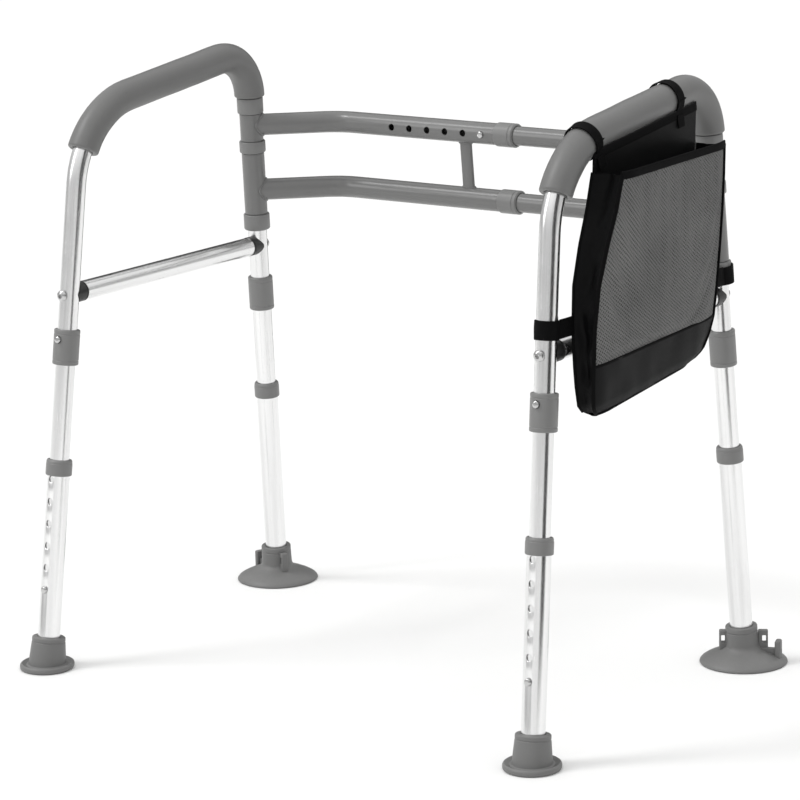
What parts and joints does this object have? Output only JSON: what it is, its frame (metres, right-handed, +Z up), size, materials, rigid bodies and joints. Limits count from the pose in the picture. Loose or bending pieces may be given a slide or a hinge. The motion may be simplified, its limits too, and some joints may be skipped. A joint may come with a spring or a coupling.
{
  "type": "toilet safety frame",
  "caption": "Free-standing frame round a toilet: foam arm grips, telescopic legs and crossbar, folding sides and a hanging side pocket.",
  "frame": {"origin": "on the floor, at the centre of the frame's footprint", "axes": "+X to the right for someone facing the frame's open front, +Y to the back, where the crossbar is, +Z up"},
  "size_m": [0.7624, 0.5099, 0.674],
  "materials": {
    "aluminium": "satin anodised extrusion with faint lengthwise streaks",
    "grey_paint": "smooth mid-grey powder coat, satin",
    "grey_plastic": "mid-grey moulded plastic with a fine matt texture",
    "grey_rubber": "mid-grey moulded rubber",
    "grip_foam": "closed-cell foam with a soft skin",
    "black_plastic": "black moulded plastic",
    "steel": "bright plated steel",
    "black_fabric": "black woven nylon with a grey mesh panel"
  },
  "bodies": {
    "crossbar_left": {"crossbar_left": "grey_paint", "rail_collar_lower": "grey_plastic", "rail_collar_upper": "grey_plastic"},
    "crossbar_right": {"crossbar_right_upper": "grey_paint", "crossbar_right_lower": "grey_paint"},
    "rail_button": {"rail_button": "steel"},
    "side_frame_left": {"arm_tube_left": "aluminium", "bolt_front_left": "steel", "bolt_rear_left": "steel", "cross_rail_left": "aluminium", "grip_left": "grip_foam", "long_collar_front_left": "grey_plastic", "long_collar_rear_left": "grey_plastic", "middle_tube_front_left": "aluminium", "middle_tube_rear_left": "aluminium", "post_ring_bottom_left": "grey_plastic", "post_ring_middle_left": "grey_plastic", "post_ring_top_left": "grey_plastic", "saddle_front_left": "black_plastic", "saddle_rear_left": "black_plastic"},
    "leg_front_left": {"lower_tube_front_left": "aluminium", "short_collar_front_left": "grey_plastic", "rubber_tip_front_left": "grey_rubber"},
    "collar_button_front_left": {"collar_button_front_left": "steel"},
    "leg_button_front_left": {"leg_button_front_left": "steel"},
    "leg_rear_left": {"lower_tube_rear_left": "aluminium", "short_collar_rear_left": "grey_plastic", "suction_cup_rear_left": "grey_rubber"},
    "collar_button_rear_left": {"collar_button_rear_left": "steel"},
    "leg_button_rear_left": {"leg_button_rear_left": "steel"},
    "side_frame_right": {"arm_tube_right": "aluminium", "bolt_front_right": "steel", "bolt_rear_right": "steel", "cross_rail_right": "aluminium", "grip_right": "grip_foam", "long_collar_front_right": "grey_plastic", "long_collar_rear_right": "grey_plastic", "middle_tube_front_right": "aluminium", "middle_tube_rear_right": "aluminium", "post_ring_bottom_right": "grey_plastic", "post_ring_middle_right": "grey_plastic", "post_ring_top_right": "grey_plastic", "saddle_front_right": "black_plastic", "saddle_rear_right": "black_plastic", "bag": "black_fabric", "grip_loop_front": "black_fabric", "grip_loop_rear": "black_fabric", "leg_strap_front": "black_fabric", "leg_strap_rear": "black_fabric"},
    "leg_front_right": {"lower_tube_front_right": "aluminium", "short_collar_front_right": "grey_plastic", "rubber_tip_front_right": "grey_rubber"},
    "collar_button_front_right": {"collar_button_front_right": "steel"},
    "leg_button_front_right": {"leg_button_front_right": "steel"},
    "leg_rear_right": {"lower_tube_rear_right": "aluminium", "short_collar_rear_right": "grey_plastic", "suction_cup_rear_right": "grey_rubber"},
    "collar_button_rear_right": {"collar_button_rear_right": "steel"},
    "leg_button_rear_right": {"leg_button_rear_right": "steel"}
  },
  "joints": [
    {"name": "left_side_fold", "type": "hinge", "parent": "crossbar_left", "child": "side_frame_left", "pos_m": [-0.31822, 0.16969, 0.49854], "axis": [0.0271, -0.0713, 0.9971], "range_deg": [0, 85]},
    {"name": "width", "type": "slide", "parent": "crossbar_left", "child": "crossbar_right", "axis": [1, 0, 0], "range_m": [-0.127, 0], "deforming": ["rail_button"]},
    {"name": "height_front_left", "type": "slide", "parent": "side_frame_left", "child": "leg_front_left", "axis": [-0.0269, -0.1295, -0.9912], "range_m": [0, 0.127], "deforming": ["leg_button_front_left"]},
    {"name": "press_collar_button_front_left", "type": "slide", "parent": "side_frame_left", "child": "collar_button_front_left", "axis": [-0.0035, 0.9916, -0.1294], "range_m": [0, 0.0036], "stiffness_N_per_m": 900, "springref_m": -0.003},
    {"name": "press_leg_button_front_left", "type": "slide", "parent": "side_frame_left", "child": "leg_button_front_left", "axis": [-0.0035, 0.9916, -0.1294], "range_m": [0, 0.0036], "stiffness_N_per_m": 900, "springref_m": -0.003},
    {"name": "height_rear_left", "type": "slide", "parent": "side_frame_left", "child": "leg_rear_left", "axis": [-0.0271, 0.0713, -0.9971], "range_m": [0, 0.127], "deforming": ["leg_button_rear_left"]},
    {"name": "press_collar_button_rear_left", "type": "slide", "parent": "side_frame_left", "child": "collar_button_rear_left", "axis": [-0.0019, -0.9975, -0.0713], "range_m": [0, 0.0036], "stiffness_N_per_m": 900, "springref_m": -0.003},
    {"name": "press_leg_button_rear_left", "type": "slide", "parent": "side_frame_left", "child": "leg_button_rear_left", "axis": [-0.0019, -0.9975, -0.0713], "range_m": [0, 0.0036], "stiffness_N_per_m": 900, "springref_m": -0.003},
    {"name": "right_side_fold", "type": "hinge", "parent": "crossbar_right", "child": "side_frame_right", "pos_m": [0.31822, 0.16969, 0.49854], "axis": [0.0271, 0.0713, -0.9971], "range_deg": [0, 66]},
    {"name": "height_front_right", "type": "slide", "parent": "side_frame_right", "child": "leg_front_right", "axis": [0.0269, -0.1295, -0.9912], "range_m": [0, 0.127], "deforming": ["leg_button_front_right"]},
    {"name": "press_collar_button_front_right", "type": "slide", "parent": "side_frame_right", "child": "collar_button_front_right", "axis": [0.0035, 0.9916, -0.1294], "range_m": [0, 0.0036], "stiffness_N_per_m": 900, "springref_m": -0.003},
    {"name": "press_leg_button_front_right", "type": "slide", "parent": "side_frame_right", "child": "leg_button_front_right", "axis": [0.0035, 0.9916, -0.1294], "range_m": [0, 0.0036], "stiffness_N_per_m": 900, "springref_m": -0.003},
    {"name": "height_rear_right", "type": "slide", "parent": "side_frame_right", "child": "leg_rear_right", "axis": [0.0271, 0.0713, -0.9971], "range_m": [0, 0.127], "deforming": ["leg_button_rear_right"]},
    {"name": "press_collar_button_rear_right", "type": "slide", "parent": "side_frame_right", "child": "collar_button_rear_right", "axis": [0.0019, -0.9975, -0.0713], "range_m": [0, 0.0036], "stiffness_N_per_m": 900, "springref_m": -0.003},
    {"name": "press_leg_button_rear_right", "type": "slide", "parent": "side_frame_right", "child": "leg_button_rear_right", "axis": [0.0019, -0.9975, -0.0713], "range_m": [0, 0.0036], "stiffness_N_per_m": 900, "springref_m": -0.003},
    {"name": "press_rail_button", "type": "slide", "parent": "crossbar_right", "child": "rail_button", "axis": [0, 1, 0], "range_m": [0, 0.0036], "stiffness_N_per_m": 900, "springref_m": -0.003}
  ]
}
